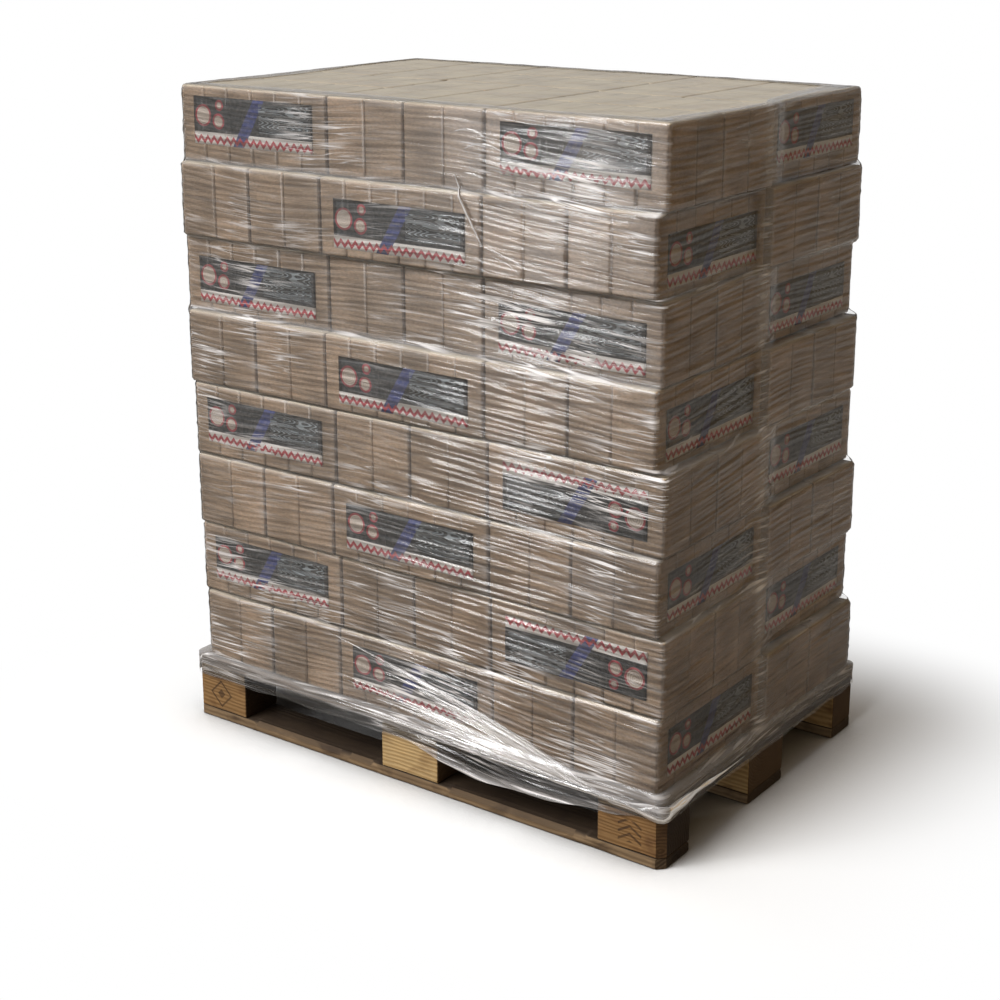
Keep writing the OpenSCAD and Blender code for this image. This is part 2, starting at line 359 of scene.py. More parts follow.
def grownMesh(name, points, turns, tree, values):
    # runs a node tree on a cloud of points and keeps the result as a plain mesh
    base = bpy.data.meshes.new(name)
    base.from_pydata(points, [], [])
    turnLayer = base.attributes.new("turn", "FLOAT", "POINT")
    for k, turn in enumerate(turns):
        turnLayer.data[k].value = turn
    holder = bpy.data.objects.new(f"{name}Points", base)
    scene.collection.objects.link(holder)
    grow = holder.modifiers.new("grow", "NODES")
    grow.node_group = tree
    for socket in tree.interface.items_tree:
        if socket.in_out == "INPUT" and socket.name in values:
            grow[socket.identifier] = values[socket.name]
    graph = bpy.context.evaluated_depsgraph_get()
    mesh = bpy.data.meshes.new_from_object(holder.evaluated_get(graph), preserve_all_data_layers=True,
                                           depsgraph=graph)
    holder.modifiers.remove(grow)
    bpy.data.objects.remove(holder)
    mesh.name = name
    return mesh


nailDraw = random.Random(nails["seed"])
nailSpots = []
for x in colStarts:
    for a, b in rowWidths:
        for sideX, sideY in ((-1, -1), (1, 1), (0, nailDraw.choice((-0.4, 0.4)))):        # three to a block
            strayX, strayY = [nailDraw.uniform(-nails["stray"], nails["stray"]) for _ in range(2)]
            nailSpots.append((x + blockLength / 2 + sideX * nails["spread"][0] + strayX,
                              (a + b) / 2 + sideY * nails["spread"][1] + strayY,
                              nails["low"] + nails["deep"] / 2))
nailMesh = grownMesh("pallet_nails", nailSpots, [0.0] * len(nailSpots), nailTree(wireSteel()), {
    "Head Radius": nails["head"], "Head Depth": nails["deep"]})
newPiece("pallet_nails", nailMesh, "pallet_pale")
print("nails set:", len(nailSpots))


# packs of briquettes
packs = {
    "length": 0.389, "width": 0.187, "height": 0.154, "pairGap": 0.001, "cellGap": 0.0015,
    "cols": 3, "rows": 2, "layers": 8, "along": 6, "across": 2, "seed": 7,
    "briquette": (0.0641, 0.0921, 0.1516), "briquetteEdge": 0.0036, "play": 0.0004, "variants": 4,
    "shift": (0.0004, 0.0004, 0.0002), "lean": (0.003, 0.003, 0.006),        # each briquette's own, at most
    "wrapEdge": 0.0065, "wrapSag": 0.0020, "seamRun": (-0.013, -0.006, 0, 0.006, 0.013),
    "woodDark": "#937b63", "woodPale": "#bda48b", "dustAndSheen": "#bcb29e",
}
pairWidth = 2 * packs["width"] + packs["pairGap"]


def pressedWood():
    # pressed sawdust: matt brown with flattened chips, faint level strata, each briquette in its own tone
    material, tree = newMaterial("pressedWood")
    place = addNode(tree, "ShaderNodeTexCoord").outputs["Object"]
    tone = addNode(tree, "ShaderNodeAttribute", attribute_name="tone").outputs["Fac"]
    # chips 5 x 3 mm, coarser than life so that they show, level layers 6 mm apart, patches of about 70 mm
    chips, strata, cloud = [addNode(tree, "ShaderNodeTexNoise", {
        "Vector": addNode(tree, "ShaderNodeMapping", {"Vector": place, "Scale": scale}).outputs[0],
        "Scale": 1, "Detail": 0}).outputs["Fac"] for scale in ((200, 200, 340), (9, 9, 165), (14, 14, 14))]
    mixed = addNode(tree, "ShaderNodeMath", {0: strata, 1: cloud}, operation="ADD").outputs[0]
    share = addNode(tree, "ShaderNodeMapRange", {0: mixed, 1: 0.68, 2: 1.32}).outputs[0]
    wood = addNode(tree, "ShaderNodeMix", {
        0: share, 6: hexLinear(packs["woodDark"]), 7: hexLinear(packs["woodPale"])}, data_type="RGBA").outputs[2]
    chipTone = addNode(tree, "ShaderNodeMapRange", {0: chips, 1: 0.25, 2: 0.75, 3: 0.82, 4: 1.16}).outputs[0]
    ownTone = addNode(tree, "ShaderNodeMapRange", {0: tone, 3: 0.84, 4: 1.12}).outputs[0]
    for level in (chipTone, ownTone):
        wood = addNode(tree, "ShaderNodeMix", {0: 1.0, 6: wood, 7: level},
                       data_type="RGBA", blend_type="MULTIPLY").outputs[2]
    bump = addNode(tree, "ShaderNodeBump", {"Height": strata, "Strength": 0.4, "Distance": 0.001}).outputs[0]
    showSurface(tree, addNode(tree, "ShaderNodeBsdfPrincipled", {
        "Base Color": wood, "Roughness": 0.68, "Normal": bump, "Specular IOR Level": 0.35}).outputs[0])
    return material


def clearFilm(tree, haze, hazeColour, roughness, normal=None):
    # shader of clear film: mirrors a little, lets the rest through, and a share of milky haze
    bent = {"Normal": normal} if normal else {}
    gloss = addNode(tree, "ShaderNodeBsdfGlossy", {
        "Color": (1, 1, 1, 1), "Roughness": roughness, **bent}).outputs[0]
    mirror = addNode(tree, "ShaderNodeFresnel", {"IOR": 1.42, **bent}).outputs[0]
    clear = addNode(tree, "ShaderNodeBsdfTransparent").outputs[0]
    film = addNode(tree, "ShaderNodeMixShader", {0: mirror, 1: clear, 2: gloss}).outputs[0]
    milk = addNode(tree, "ShaderNodeBsdfPrincipled", {
        "Base Color": hexLinear(hazeColour), "Roughness": 0.4, **bent}).outputs[0]
    showSurface(tree, addNode(tree, "ShaderNodeMixShader", {0: haze, 1: film, 2: milk}).outputs[0])


def wrapperPolyethylene():
    # the packs' own shrunk film: thin and clear on the sides, milky where it lies double on top, with dust and a
    # painted sheen of the light from above
    material, tree = newMaterial("wrapperPolyethylene")
    facing = addNode(tree, "ShaderNodeSeparateXYZ", {
        0: addNode(tree, "ShaderNodeNewGeometry").outputs["Normal"]}).outputs["Z"]
    mottle = addNode(tree, "ShaderNodeTexNoise", {        # dust and painted sheen in patches of about 90 mm
        "Vector": addNode(tree, "ShaderNodeTexCoord").outputs["Object"], "Scale": 11, "Detail": 3}).outputs["Fac"]
    dustAndSheenShare = addNode(tree, "ShaderNodeMapRange", {0: mottle, 1: 0.32, 2: 0.68, 3: 0.52, 4: 0.88}).outputs[0]
    # hazier on what faces up: the double film, and a painted sheen of the light from above
    haze = addNode(tree, "ShaderNodeMapRange", {0: facing, 1: 0.15, 2: 0.6, 3: 0.08, 4: dustAndSheenShare}).outputs[0]
    clearFilm(tree, haze, packs["dustAndSheen"], 0.24)
    return material


def roundedBox(bm, size, radius, cuts, sag=None):
    # a box of quads with round edges: each point goes to the inner box and out again by the radius
    halves = [s / 2 for s in size]
    lines = []
    for half, inner in zip(halves, cuts):
        edge = [-half, -half + radius * 0.3, -half + radius]
        lines.append(edge + list(inner) + [-x for x in reversed(edge)])
    spots = {}

    def spotAt(point):
        key = tuple(round(c, 6) for c in point)
        if key not in spots:
            inside = Vector([max(-h + radius, min(h - radius, c)) for c, h in zip(point, halves)])
            off = Vector(point) - inside
            place = inside + off.normalized() * radius if off.length > 1e-9 else Vector(point)
            spots[key] = bm.verts.new(sag(place) if sag else place)
        return spots[key]

    for axis in range(3):
        a, b = (axis + 1) % 3, (axis + 2) % 3
        for side in (-1, 1):
            for a0, a1 in zip(lines[a], lines[a][1:]):
                for b0, b1 in zip(lines[b], lines[b][1:]):
                    corners = []
                    for u, v in ((a0, b0), (a1, b0), (a1, b1), (a0, b1)):
                        point = [0, 0, 0]
                        point[axis], point[a], point[b] = side * halves[axis], u, v
                        corners.append(spotAt(point))
                    bm.faces.new(corners if side > 0 else list(reversed(corners)))


def briquetteObject(number, draw):
    bm = bmesh.new()
    bmesh.ops.create_cube(bm, size=1)
    bmesh.ops.scale(bm, vec=packs["briquette"], verts=bm.verts)
    edge = packs["briquetteEdge"] * draw.uniform(0.8, 1.15)
    bmesh.ops.bevel(bm, geom=bm.edges[:], offset=edge, segments=2, profile=0.5, affect="EDGES")
    for vert in bm.verts:        # pressed blocks are never quite true
        vert.co += Vector([draw.uniform(-0.0004, 0.0002) * (1 if c > 0 else -1) for c in vert.co])
    for face in bm.faces:
        face.smooth = face.calc_area() < 0.001
    name = f"briquetteShape{number}"
    return bpy.data.objects.new(name, meshFrom(bm, name))


def wrapperObject():
    halves = [packs[size] / 2 for size in ("length", "width", "height")]
    seams = []        # where two briquettes meet, along and across the pack
    for half, count in zip(halves, (packs["along"], packs["across"])):
        seams.append([(k - count / 2) * (2 * half / count) for k in range(1, count)])
    cuts = [[seam + off for seam in line for off in packs["seamRun"]] for line in seams] + [[-0.03, 0.03]]

    def sag(place):        # the wrapper is drawn in at a seam and flat again 6 mm from it
        near = [min(abs(c - seam) for seam in line) < 0.004 for c, line in zip(place, seams)]
        dips = (packs["wrapSag"] * near[1], packs["wrapSag"] * near[0], packs["wrapSag"] * 0.7 * (near[0] or near[1]))
        return Vector([c - math.copysign(dip, c) if abs(c) > half - 0.002 else c
                       for c, half, dip in zip(place, halves, dips)])

    bm = bmesh.new()
    roundedBox(bm, (packs["length"], packs["width"], packs["height"]), packs["wrapEdge"], cuts, sag)
    bm.normal_update()
    for face in bm.faces:        # flat between the seams, round at the edges
        face.smooth = max(abs(c) for c in face.normal) < 0.9999
    return bpy.data.objects.new("wrapperShape", meshFrom(bm, "wrapperShape"))


def pairCells(layer):
    # pairs lie along X on every second cell and swap over from layer to layer, as in the CAD
    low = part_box(f"layer_{layer + 1}")[0]
    cells = []
    for row in range(packs["rows"]):
        for col in range(packs["cols"]):
            sizes = [[(packs["length"], pairWidth) if (c + r + layer) % 2 else (pairWidth, packs["length"])
                      for c in range(packs["cols"])] for r in range(packs["rows"])]
            x = low.x + sum(sizes[row][c][0] + packs["cellGap"] for c in range(col))
            y = low.y + sum(sizes[r][col][1] + packs["cellGap"] for r in range(row))
            size = sizes[row][col]
            cells.append({"col": col, "row": row, "alongX": size[0] == packs["length"],
                          "low": Vector((x, y, low.z)), "size": size,
                          "centre": Vector((x + size[0] / 2, y + size[1] / 2, low.z + packs["height"] / 2))})
    return cells


def packTree(shapes, wrapper, wood, film):
    tree, given = newTree("packRows", {"Pitch Along": "Float", "Pitch Across": "Float", "Briquettes Along": "Int",
                                       "Briquettes Across": "Int", "Seed": "Int"})
    spans = []
    for count, pitch in (("Briquettes Along", "Pitch Along"), ("Briquettes Across", "Pitch Across")):
        less = addNode(tree, "ShaderNodeMath", {0: given[count], 1: 1.0}, operation="SUBTRACT").outputs[0]
        spans.append(addNode(tree, "ShaderNodeMath", {0: less, 1: given[pitch]}, operation="MULTIPLY").outputs[0])
    grid = addNode(tree, "GeometryNodeMeshGrid", {
        "Size X": spans[0], "Size Y": spans[1],
        "Vertices X": given["Briquettes Along"], "Vertices Y": given["Briquettes Across"]}).outputs["Mesh"]
    turn = addNode(tree, "GeometryNodeInputNamedAttribute", {"Name": "turn"},
                   data_type="FLOAT").outputs["Attribute"]
    facing = addNode(tree, "ShaderNodeCombineXYZ", {"Z": turn}).outputs[0]
    stood = addNode(tree, "GeometryNodeInstanceOnPoints", {
        "Points": given["Geometry"], "Instance": grid, "Rotation": facing}).outputs[0]
    spots = addNode(tree, "GeometryNodeMeshToPoints", {
        "Mesh": addNode(tree, "GeometryNodeRealizeInstances", {0: stood}).outputs[0]}).outputs[0]
    shift, lean = [addNode(tree, "FunctionNodeRandomValue", {
        0: [-most for most in packs[kind]], 1: packs[kind], "Seed": given["Seed"]},
        data_type="FLOAT_VECTOR").outputs[0] for kind in ("shift", "lean")]
    spots = addNode(tree, "GeometryNodeSetPosition", {"Geometry": spots, "Offset": shift}).outputs[0]
    turned = addNode(tree, "ShaderNodeVectorMath", {0: lean, 1: facing}, operation="ADD").outputs[0]
    pick = addNode(tree, "FunctionNodeRandomValue", {
        4: 0, 5: packs["variants"] - 1, "Seed": given["Seed"]}, data_type="INT").outputs[2]
    kinds = addNode(tree, "GeometryNodeCollectionInfo", {
        "Collection": shapes, "Separate Children": True, "Reset Children": True}).outputs[0]
    placed = addNode(tree, "GeometryNodeInstanceOnPoints", {
        "Points": spots, "Instance": kinds, "Pick Instance": True, "Instance Index": pick,
        "Rotation": turned}).outputs[0]
    toneDraw = addNode(tree, "FunctionNodeRandomValue", {2: 0.0, 3: 1.0, "Seed": given["Seed"]},
                       data_type="FLOAT").outputs[1]
    placed = addNode(tree, "GeometryNodeStoreNamedAttribute", {
        "Geometry": placed, "Name": "tone", "Value": toneDraw}, data_type="FLOAT", domain="INSTANCE").outputs[0]
    skins = addNode(tree, "GeometryNodeInstanceOnPoints", {
        "Points": given["Geometry"], "Rotation": facing,
        "Instance": addNode(tree, "GeometryNodeObjectInfo", {"Object": wrapper}).outputs["Geometry"]}).outputs[0]
    joined = addNode(tree, "GeometryNodeJoinGeometry")
    for made, material in ((placed, wood), (skins, film)):
        solid = addNode(tree, "GeometryNodeRealizeInstances", {0: made}).outputs[0]
        finished = addNode(tree, "GeometryNodeSetMaterial", {"Geometry": solid, "Material": material}).outputs[0]
        tree.links.new(finished, joined.inputs[0])
    addNode(tree, "NodeGroupOutput", {0: joined.outputs[0]})
    return tree


wrapperFilm = wrapperPolyethylene()
briquetteWood = pressedWood()
shapeDraw = random.Random(packs["seed"])
shapeSet = bpy.data.collections.new("briquetteShapes")
scene.collection.children.link(shapeSet)
for number in range(packs["variants"]):
    shapeSet.objects.link(briquetteObject(number, shapeDraw))
wrapperShape = wrapperObject()
scene.collection.objects.link(wrapperShape)
rowTree = packTree(shapeSet, wrapperShape, briquetteWood, wrapperFilm)
for layer in range(packs["layers"]):
    points, turns = [], []
    for cell in pairCells(layer):
        for side in (-1, 1):
            off = side * (packs["width"] + packs["pairGap"]) / 2
            points.append(cell["centre"] + (Vector((0, off, 0)) if cell["alongX"] else Vector((off, 0, 0))))
            turns.append(0.0 if cell["alongX"] else math.pi / 2)
    mesh = grownMesh(f"packs_{layer + 1}", points, turns, rowTree, {
        "Pitch Along": packs["briquette"][0] + packs["play"], "Pitch Across": packs["briquette"][1] + packs["play"],
        "Briquettes Along": packs["along"], "Briquettes Across": packs["across"],
        "Seed": packs["seed"] + 31 * layer})
    newPiece(f"packs_{layer + 1}", mesh, "briquette", f"layer_{layer + 1}")
for shape in list(shapeSet.objects) + [wrapperShape]:
    bpy.data.objects.remove(shape)
bpy.data.collections.remove(shapeSet)


# labels with a plain design of their own
labels = {
    "length": 0.318, "height": 0.096, "thick": 0.0005, "across": 36, "up": 10, "seed": 12,
    "lifts": (0, 0.002, -0.004, 0, -0.012, -0.011, -0.010, 0.008),        # off the pack's middle, bottom layer first
    "upsideDown": ((3, 2), (1, 2)),        # layer and column on the front
    "crumple": 0.0006, "seamDip": 0.001, "seamRun": 0.010,
    "logs": ((26, 58, 22), (68, 48, 16), (71, 80, 11)), "ringStep": 4.6,        # place and radius in millimetres
    "paper": "#d3cfca", "worn": "#a8a29c", "bark": "#98303a", "wood": "#c4b9ad", "ring": "#8f7f74",
    "field": "#14181b", "sash": "#28346f", "grain": "#848c90", "zigzag": "#a8353f",
}


def printedPaper():
    # coated label paper: flat printed fields, slightly glossy, inks a little worn
    material, tree = newMaterial("printedPaper")
    spot = addNode(tree, "ShaderNodeUVMap", uv_map="print").outputs[0]
    axes = addNode(tree, "ShaderNodeSeparateXYZ", {0: spot}).outputs
    sums = {"u": axes["X"], "v": axes["Y"]}        # in millimetres across and up the label
    for x, y, _ in labels["logs"]:
        sums[f"log{x}"] = addNode(tree, "ShaderNodeVectorMath", {0: spot, 1: (x, y, 0)},
                                  operation="DISTANCE").outputs["Value"]
    sums["figure"] = addNode(tree, "ShaderNodeTexNoise", {
        "Vector": addNode(tree, "ShaderNodeMapping", {"Vector": spot, "Scale": (0.010, 0.07, 1)}).outputs[0],
        "Scale": 1, "Detail": 0}, noise_dimensions="2D").outputs["Fac"]
    steps = [
        ("field", "GREATER_THAN", "v", 25.0),        # dark field above the foot
        ("lean", "MULTIPLY", "v", 0.6), ("slant", "SUBTRACT", "u", "lean"), ("from", "GREATER_THAN", "slant", 106.0),
        ("to", "LESS_THAN", "slant", 136.0), ("sash", "MULTIPLY", "from", "to"),        # slanting sash
        ("rings", "MULTIPLY", "figure", 11.0), ("repeat", "MODULO", "rings", 1.0),
        ("line", "LESS_THAN", "repeat", 0.36), ("past", "GREATER_THAN", "u", 178.0),
        ("before", "LESS_THAN", "u", 308.0), ("over", "GREATER_THAN", "v", 32.0), ("under", "LESS_THAN", "v", 90.0),
        ("lineA", "MULTIPLY", "line", "past"), ("lineB", "MULTIPLY", "lineA", "before"),
        ("lineC", "MULTIPLY", "lineB", "over"), ("grain", "MULTIPLY", "lineC", "under"),        # lines of wood grain
        ("turn", "MODULO", "u", 18.0), ("half", "SUBTRACT", "turn", 9.0), ("tooth", "ABSOLUTE", "half", 0.0),
        ("steep", "MULTIPLY", "tooth", 1.2), ("peak", "ADD", "steep", 5.0), ("fall", "SUBTRACT", "v", "peak"),
        ("near", "ABSOLUTE", "fall", 0.0), ("zigzag", "LESS_THAN", "near", 4.4)]        # zigzag along the foot
    inks = [(part, labels[part]) for part in ("field", "sash", "grain", "zigzag")]
    for x, _, radius in labels["logs"]:        # stacked log ends: bark, pale wood and growth rings
        step = labels["ringStep"]
        steps += [(f"bark{x}", "LESS_THAN", f"log{x}", float(radius)),
                  (f"wood{x}", "LESS_THAN", f"log{x}", radius - step),
                  (f"age{x}", "MODULO", f"log{x}", step), (f"thin{x}", "LESS_THAN", f"age{x}", 1.1),
                  (f"ring{x}", "MULTIPLY", f"thin{x}", f"wood{x}")]
        inks += [(f"{part}{x}", labels[part]) for part in ("bark", "wood", "ring")]
    for result, operation, a, b in steps:
        sums[result] = addNode(tree, "ShaderNodeMath", {0: sums.get(a, a), 1: sums.get(b, b)},
                               operation=operation).outputs[0]
    wear = addNode(tree, "ShaderNodeTexNoise", {        # worn in spots of 8 mm
        "Vector": spot, "Scale": 0.12, "Detail": 4}).outputs["Fac"]
    sums["worn"] = addNode(tree, "ShaderNodeMapRange", {0: wear, 1: 0.35, 2: 0.75, 4: 0.2}).outputs[0]
    colour = hexLinear(labels["paper"])
    for mask, ink in inks + [("worn", labels["worn"])]:
        colour = addNode(tree, "ShaderNodeMix", {0: sums[mask], 6: colour, 7: hexLinear(ink)},
                         data_type="RGBA").outputs[2]
    rough = addNode(tree, "ShaderNodeMapRange", {0: wear, 3: 0.34, 4: 0.55}).outputs[0]
    showSurface(tree, addNode(tree, "ShaderNodeBsdfPrincipled", {
        "Base Color": colour, "Roughness": rough, "Specular IOR Level": 0.4}).outputs[0])
    return material


def addLabel(bm, middle, along, out, flip, draw):
    # thin closed sheet that follows the pack's face, drawn in a little at each seam
    uvLayer = bm.loops.layers.uv["print"]
    nU, nV = labels["across"], labels["up"]
    seed = Vector((draw.uniform(0, 50), draw.uniform(0, 50), 0))
    seamStep = packs["length"] / packs["along"]
    sheets = []
    for depth in (0.0, labels["thick"]):
        rows = []
        for j in range(nV + 1):
            row = []
            for i in range(nU + 1):
                a, b = (i / nU - 0.5) * labels["length"], (j / nV - 0.5) * labels["height"]
                toSeam = abs((a / seamStep + 0.5) % 1 - 0.5) * seamStep
                lift = -labels["seamDip"] * max(0.0, 1 - toSeam / labels["seamRun"])
                lift += labels["crumple"] * noise.noise(Vector((a * 22, b * 30, 0)) + seed)
                place = middle + along * a + Vector((0, 0, b)) + out * (lift + depth)
                share = (1 - i / nU, 1 - j / nV) if flip else (i / nU, j / nV)
                mark = (share[0] * labels["length"] * 1000, share[1] * labels["height"] * 1000)
                row.append((bm.verts.new(place), mark))
            rows.append(row)
        sheets.append(rows)
    back, face = sheets
    quads = []
    for rows, turn in ((back, -1), (face, 1)):
        for j in range(nV):
            for i in range(nU):
                quads.append([rows[j][i], rows[j][i + 1], rows[j + 1][i + 1], rows[j + 1][i]][::turn])
    rim = [(0, i) for i in range(nU)] + [(j, nU) for j in range(nV)]
    rim += [(nV, i) for i in range(nU, 0, -1)] + [(j, 0) for j in range(nV, 0, -1)]
    for (j0, i0), (j1, i1) in zip(rim, rim[1:] + rim[:1]):
        quads.append([back[j0][i0], back[j1][i1], face[j1][i1], face[j0][i0]])
    for quad in quads:
        made = bm.faces.new([vert for vert, _ in quad])
        made.smooth = True
        for loop, (_, mark) in zip(made.loops, quad):
            loop[uvLayer].uv = mark


labelPaper = printedPaper()
for name, node, front in (("label_sheets_front", "labels_front", True), ("label_sheets_right", "labels_right", False)):
    bm = bmesh.new()
    bm.loops.layers.uv.new("print")
    draw = random.Random(labels["seed"] + front)
    along, out = (Vector((1, 0, 0)), Vector((0, -1, 0))) if front else (Vector((0, 1, 0)), Vector((1, 0, 0)))
    count = 0
    for layer in range(packs["layers"]):
        lift = Vector((0, 0, labels["lifts"][layer]))
        for cell in pairCells(layer):
            onSide = cell["row"] == 0 if front else cell["col"] == packs["cols"] - 1
            if cell["alongX"] == front and onSide:        # only a pack's long face has a label
                middle = cell["centre"] + out * cell["size"][1 if front else 0] / 2 + lift
                addLabel(bm, middle, along, out, front and (layer, cell["col"]) in labels["upsideDown"], draw)
                count += 1
    bmesh.ops.recalc_face_normals(bm, faces=bm.faces[:])
    sheet = newPiece(name, meshFrom(bm, name, labelPaper), "label", node)
print("labels laid")


# stretch film
film = {
    "hem": 0.100, "gap": 0.0016, "cornerRound": 0.011, "deckRound": 0.022, "rows": 260, "lapRows": 8, "lap": 0.06,
    "jointRows": (-0.0105, -0.007, -0.0045, -0.0022, 0.0, 0.0022, 0.0045, 0.007, 0.0105), "jointClear": 0.0125,
    "frontColumns": 104, "rightColumns": 72, "backColumns": 52, "leftColumns": 40, "cornerColumns": 5,
    "groove": 0.005, "grooveRun": 0.007, "overStep": 0.12, "stepRun": 0.06,
    "crease": 0.0017, "slant": 0.0010, "billow": 0.0006, "drift": 0.032,
    # along the front, how far the hem sags
    "sag": ((-0.02, 0.0), (0.09, 0.024), (0.2, 0.036), (0.33, 0.030), (0.47, 0.014), (0.56, 0.0)),
    "hemRough": 0.005, "hemFold": 0.003, "lapLift": 0.0012, "lapRough": 0.0016, "lapMilk": 0.1, "closing": 0.004,
    "ledgeHighlight": 0.22, "deckMilk": 0.14, "seamLight": 0.05, "seamLightRun": 0.013, "dull": 0.012, "paintedSheen": 0.03, "veil": 0.12,
    "stepLight": 0.22, "stepLightRun": 0.02, "crumple": {"front": 1.05, "right": 0.35, "back": 0.7, "left": 0.5}, "paintedGlint": 0.85,
    "creases": (0.06, 0.46),        # share of white creases, which are painted highlights, where the film is tight and where it is slack
    # crushed spots, which get painted glints, and tight spots on the front, place and radius
    "crushed": ((0.14, 1.315, 0.07), (0.45, 0.53, 0.06), (0.27, 0.712, 0.06), (0.40, 1.30, 0.09),
                (0.49, 0.175, 0.045)), "crush": 0.1,
    "clear": ((0.385, 0.375, 0.12), (-0.385, 1.31, 0.10), (0.42, 1.13, 0.08)),
    # a band stretched over the right face, and the upper edge of the fan of folds on the front
    "band": ((-0.258, 1.269), (0.083, 1.363)), "bandMilk": 0.09, "bandWide": 0.014,
    "fanTop": ((-0.28, 0.29), (-0.11, 0.276), (0.054, 0.25), (0.188, 0.224), (0.245, 0.197), (0.326, 0.165),
               (0.446, 0.126)),
}


def smooth(low, high, value):
    share = max(0.0, min(1.0, (value - low) / (high - low)))
    return share * share * (3 - 2 * share)


def ripple(u, z, perU, perZ, seed):
    # slow noise over the film, in waves per metre along it and up it
    return noise.noise(Vector((u * perU, z * perZ, seed)))


def layerReach(layer):
    # how far one layer reaches to each side; its right face steps where the near and far rows part
    low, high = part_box(f"layer_{layer + 1}")
    near, far = [cell for cell in pairCells(layer) if cell["col"] == packs["cols"] - 1]
    return {"left": -low.x, "front": -low.y, "back": high.y, "rightNear": near["low"].x + near["size"][0],
            "rightFar": far["low"].x + far["size"][0], "part": far["low"].y}


def seamLines(layer):
    # where packs part on each side of a layer, measured along that side
    lines = {"front": [], "right": [], "back": [], "left": []}
    for cell in pairCells(layer):
        x, y = cell["low"].x, cell["low"].y
        wide, deep = cell["size"]
        onX = [x + wide] if cell["alongX"] else [x + wide / 2, x + wide]
        onY = [y + deep / 2, y + deep] if cell["alongX"] else [y + deep]
        lines["front" if cell["row"] == 0 else "back"] += onX
        if cell["col"] == 0:
            lines["left"] += onY
        if cell["col"] == packs["cols"] - 1:
            lines["right"] += onY
    return lines


def filmProfile(side):
    # how far the film stands out on one side, as knots of height and reach
    deckReach = palletHalfX if side in ("left", "rightNear", "rightFar") else palletHalfY
    reaches = [deckReach] + [layerReach(layer)[side] for layer in range(packs["layers"])]
    edges = [deckZ + k * packs["height"] for k in range(packs["layers"] + 1)]
    knots = [(0.0, reaches[0]), (deckZ - 0.004, reaches[0])]
    for k, z in enumerate(edges[:-1]):
        below, above = reaches[k], reaches[k + 1]
        step = abs(above - below)
        lowRun = film["grooveRun"] + (film["overStep"] * step if below < above else 0)
        highRun = film["grooveRun"] + (film["overStep"] * step if above < below else 0)
        if k > 0:
            knots.append((z - lowRun, below))
        knots.append((z, max(below, above) - (film["groove"] if k else 0.0)))
        knots.append((z + highRun, above))
    return knots + [(edges[-1] - 0.009, reaches[-1]), (edges[-1], reaches[-1] - 0.004)]        # rounded at the top


def reachAt(knots, z):
    for (z0, r0), (z1, r1) in zip(knots, knots[1:]):
        if z <= z1:
            return r0 + (r1 - r0) * smooth(z0, max(z1, z0 + 1e-6), z)
    return knots[-1][1]


def layerAt(z):
    return max(0, min(packs["layers"] - 1, int((z - deckZ) / packs["height"])))


def rightReach(near, far, part, y):
    # the film runs slowly from the row that stands out to the one that stands back
    start = part if near > far else part - film["stepRun"]
    return near + (far - near) * smooth(start, start + film["stepRun"], y)


skinKnots = {side: filmProfile(side) for side in ("left", "rightNear", "rightFar", "front", "back")}
skinParts = [layerReach(layer)["part"] for layer in range(packs["layers"])]
skinSeams = [seamLines(layer) for layer in range(packs["layers"])]


def filmRow(z):
    # points round the load at one height, with the way out, the side and the place along it
    reach = {side: reachAt(knots, z) + film["gap"] for side, knots in skinKnots.items()}
    rounder = film["deckRound"] - film["cornerRound"]
    radius = film["cornerRound"] + rounder * smooth(deckZ + 0.03, deckZ, z)
    left, front, back = -reach["left"], -reach["front"], reach["back"]
    near, far = reach["rightNear"], reach["rightFar"]
    sides = (("front", (left + radius, front), (near - radius, front), (0, -1)),
             ("right", (near, front + radius), (far, back - radius), (1, 0)),
             ("back", (far - radius, back), (left + radius, back), (0, 1)),
             ("left", (left, back - radius), (left, front + radius), (-1, 0)))
    row = []
    for k, (side, start, end, out) in enumerate(sides):
        count = film[f"{side}Columns"]
        for i in range(count):
            x, y = [a + (b - a) * i / count for a, b in zip(start, end)]
            if side == "right":
                x = rightReach(near, far, skinParts[layerAt(z)], y)
            row.append((Vector((x, y)), Vector(out), side, x if side in ("front", "back") else y))
        nextOut = sides[(k + 1) % 4][3]
        pivot = Vector(end) - Vector(out) * radius
        for i in range(film["cornerColumns"]):
            turn = math.pi / 2 * i / film["cornerColumns"]
            way = Vector(out) * math.cos(turn) + Vector(nextOut) * math.sin(turn)
            spot = pivot + way * radius
            row.append((spot, way, side, spot.x if side in ("front", "back") else spot.y))
    return row


def wrinkle(u, z):
    # slack of the film, outward only: long level creases, folds that slant, a slow billow
    slack = 0.35 + 0.65 * smooth(-0.35, 0.4, ripple(u, z, 2.3, 3.6, 4.4))
    drift = 0.6 * ripple(u, z, 1.6, 4, 3.1)
    crease = max(0.0, 1 - 1.9 * abs(noise.noise(Vector((u * 3.4, z * 46 + drift, 2.2)))))
    fold = max(0.0, 1 - 2.2 * abs(noise.noise(Vector((u * 4.5 + z * 7, z * 33 - u * 6, 6.1)))))
    billow = 0.5 + 0.5 * ripple(u, z, 2.0, 5, 9.4)
    return film["crease"] * slack * crease ** 2 + film["slant"] * slack * fold ** 2 + film["billow"] * billow


def fanTop(x):
    marks = film["fanTop"]
    for (x0, z0), (x1, z1) in zip(marks, marks[1:]):
        if x <= x1:
            return z0 + (z1 - z0) * max(0.0, (x - x0) / (x1 - x0))
    return marks[-1][1]


def nearSpots(spots, along, z):
    return sum(math.exp(-((along - x) ** 2 + (z - up) ** 2) / wide ** 2) for x, up, wide in spots)


